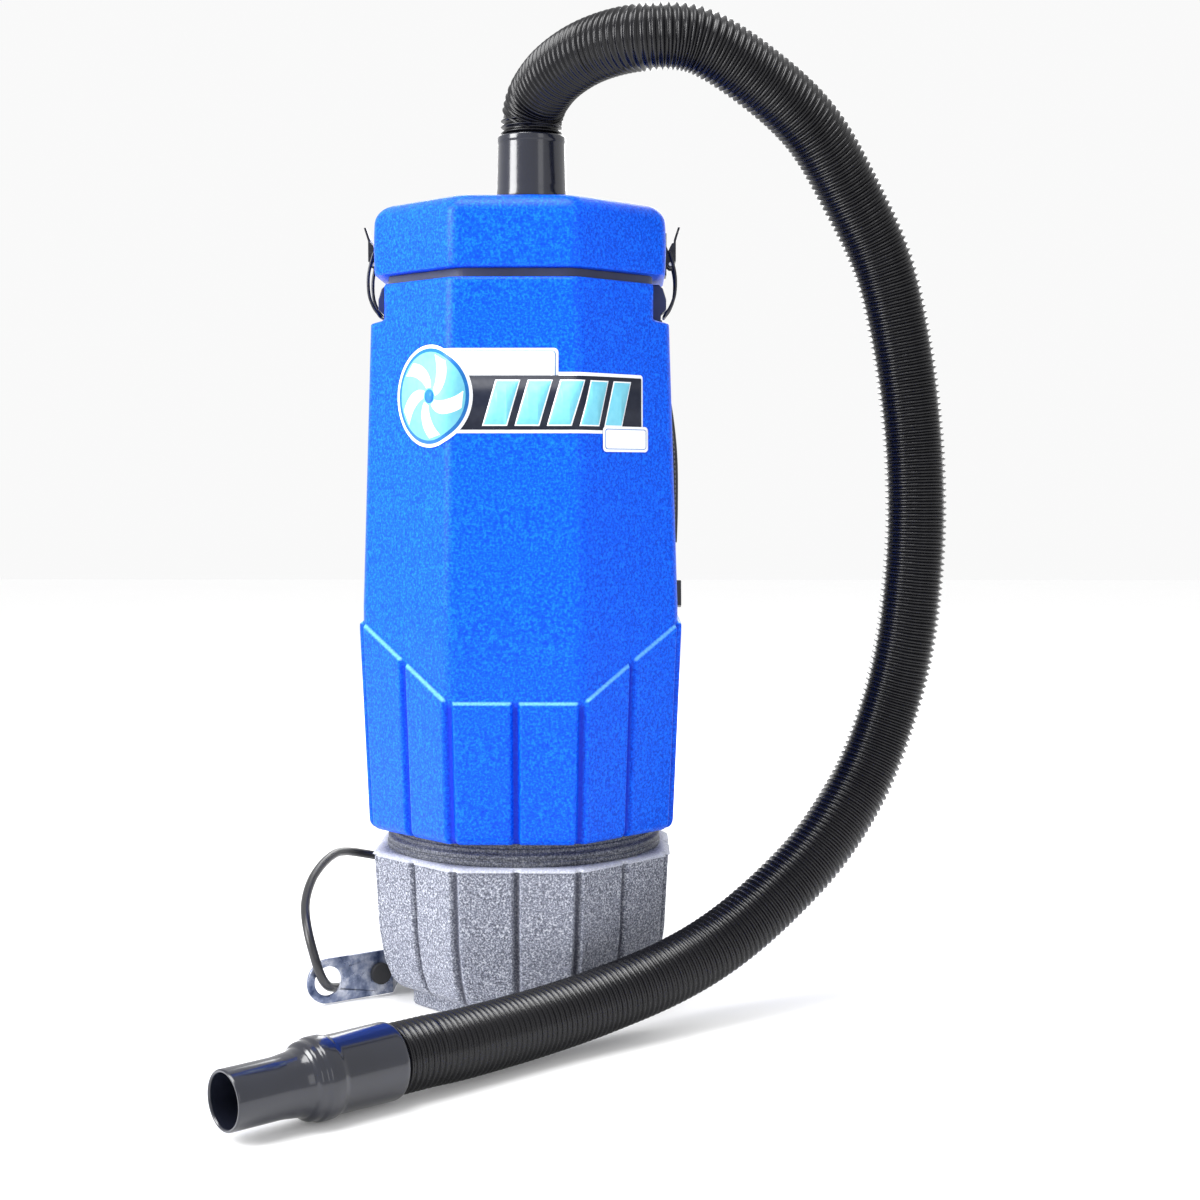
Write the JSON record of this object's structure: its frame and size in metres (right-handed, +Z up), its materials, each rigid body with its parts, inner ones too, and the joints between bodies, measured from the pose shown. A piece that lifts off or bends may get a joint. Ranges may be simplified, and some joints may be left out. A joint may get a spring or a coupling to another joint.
{
  "type": "backpack vacuum cleaner",
  "caption": "Backpack vacuum cleaner: octagonal moulded tank with latched lid, speckled motor base, corrugated hose with tool cuff, padded harness and pigtail.",
  "frame": {"origin": "centre of the base's underside, on the floor", "axes": "+Z up, -Y is the front with the label, +X is the side that the hose arches over"},
  "size_m": [0.493, 0.6123, 0.7246],
  "materials": {
    "blue_shell": "satin moulded grain",
    "grey_speckle": "speckled moulded grain",
    "black_gloss": "gloss",
    "black_plastic": "satin",
    "hose_black": "gloss ribbed",
    "rubber_black": "matte",
    "seal_grey": "matte",
    "steel": "brushed",
    "plate_metal": "mottled gloss",
    "keeper_navy": "satin",
    "label_print": "gloss film",
    "bag_paper": "matte",
    "collar_card": "matte",
    "cloth": "woven",
    "foam": "open foam",
    "copper": "satin",
    "iron": "satin",
    "carbon": "matte",
    "aluminium_case": "satin",
    "pad_fabric": "woven",
    "webbing_fabric": "woven",
    "switch_red": "gloss",
    "brass_pins": "polished"
  },
  "bodies": {
    "root": {"tank": "blue_shell", "tank_seal": "rubber_black", "label": "label_print", "keeper_left": "keeper_navy", "keeper_right": "keeper_navy", "filter_bag": "bag_paper", "bag_collar": "collar_card", "cloth_filter": "cloth", "dome_filter": "foam", "seal_ring": "seal_grey", "base": "grey_speckle", "base_screws": "steel", "motor_gasket": "rubber_black", "fan_case": "aluminium_case", "diffuser": "black_plastic", "stator": "iron", "motor_frame": "aluminium_case", "bearings": "steel", "carbon_brushes": "carbon", "brush_holders": "brass_pins", "motor_mount": "rubber_black", "exhaust_filter": "foam", "switch_housing": "black_plastic", "cord_gland": "rubber_black", "power_cord": "rubber_black", "power_plug": "rubber_black", "plug_blades": "brass_pins", "strain_plate": "plate_metal", "strain_plate_screws": "steel", "plate_bumper": "rubber_black", "back_plate": "black_plastic", "harness_screws": "steel", "back_pad": "pad_fabric", "shoulder_pad_left": "pad_fabric", "shoulder_pad_right": "pad_fabric", "webbing_left": "webbing_fabric", "webbing_right": "webbing_fabric", "strap_adjusters": "black_plastic", "waist_pad_left": "pad_fabric", "waist_pad_right": "pad_fabric", "belt_webbing": "webbing_fabric", "buckle_male": "black_plastic", "buckle_female": "black_plastic", "carry_handle": "webbing_fabric"},
    "lid": {"lid": "blue_shell", "inlet_collar": "black_plastic", "latch_brackets": "black_plastic", "latch_pins": "steel", "hose": "hose_black"},
    "inlet_cuff": {"inlet_cuff": "black_gloss"},
    "tool_cuff": {"tool_cuff": "black_gloss"},
    "lever_left": {"lever_left": "black_plastic"},
    "lever_right": {"lever_right": "black_plastic"},
    "bail_left": {"bail_left": "steel"},
    "bail_right": {"bail_right": "steel"},
    "rotor": {"motor_shaft": "steel", "impeller": "aluminium_case", "armature": "copper", "commutator": "copper"},
    "switch_rocker": {"switch_rocker": "switch_red"}
  },
  "joints": [
    {"name": "lid_lift", "type": "slide", "parent": "root", "child": "lid", "axis": [0, 0, 1], "range_m": [0, 0.075]},
    {"name": "lever_right_hinge", "type": "hinge", "parent": "lid", "child": "lever_right", "pos_m": [0.1108, 0, 0.553], "axis": [0, 1, 0], "range_deg": [0, 161]},
    {"name": "bail_right_hinge", "type": "hinge", "parent": "lever_right", "child": "bail_right", "pos_m": [0.1102, 0, 0.5605], "axis": [0, 1, 0], "range_deg": [-221, 0]},
    {"name": "lever_left_hinge", "type": "hinge", "parent": "lid", "child": "lever_left", "pos_m": [-0.1108, 0, 0.553], "axis": [0, 1, 0], "range_deg": [-161, 0]},
    {"name": "bail_left_hinge", "type": "hinge", "parent": "lever_left", "child": "bail_left", "pos_m": [-0.1102, 0, 0.5605], "axis": [0, 1, 0], "range_deg": [0, 221]},
    {"name": "inlet_swivel", "type": "hinge", "parent": "lid", "child": "inlet_cuff", "pos_m": [0.007, 0, 0.62], "axis": [0, 0, 1], "continuous": true},
    {"name": "tool_cuff_swivel", "type": "hinge", "parent": "root", "child": "tool_cuff", "pos_m": [-0.072, -0.2546, 0.026], "axis": [-0.7431, -0.6691, 0], "continuous": true},
    {"name": "motor_spin", "type": "hinge", "parent": "root", "child": "rotor", "pos_m": [0, 0, 0.06], "axis": [0, 0, 1], "continuous": true},
    {"name": "switch_hinge", "type": "hinge", "parent": "root", "child": "switch_rocker", "pos_m": [0.07326, 0.07326, 0.098], "axis": [0, 0, 1], "range_deg": [0, 16]}
  ],
  "couplings": [
    {"joint": "lever_right_hinge", "follows": "lid_lift", "rad_per_m": 37.234},
    {"joint": "bail_right_hinge", "follows": "lid_lift", "rad_per_m": -51.196},
    {"joint": "lever_left_hinge", "follows": "lid_lift", "rad_per_m": -37.234},
    {"joint": "bail_left_hinge", "follows": "lid_lift", "rad_per_m": 51.196}
  ]
}
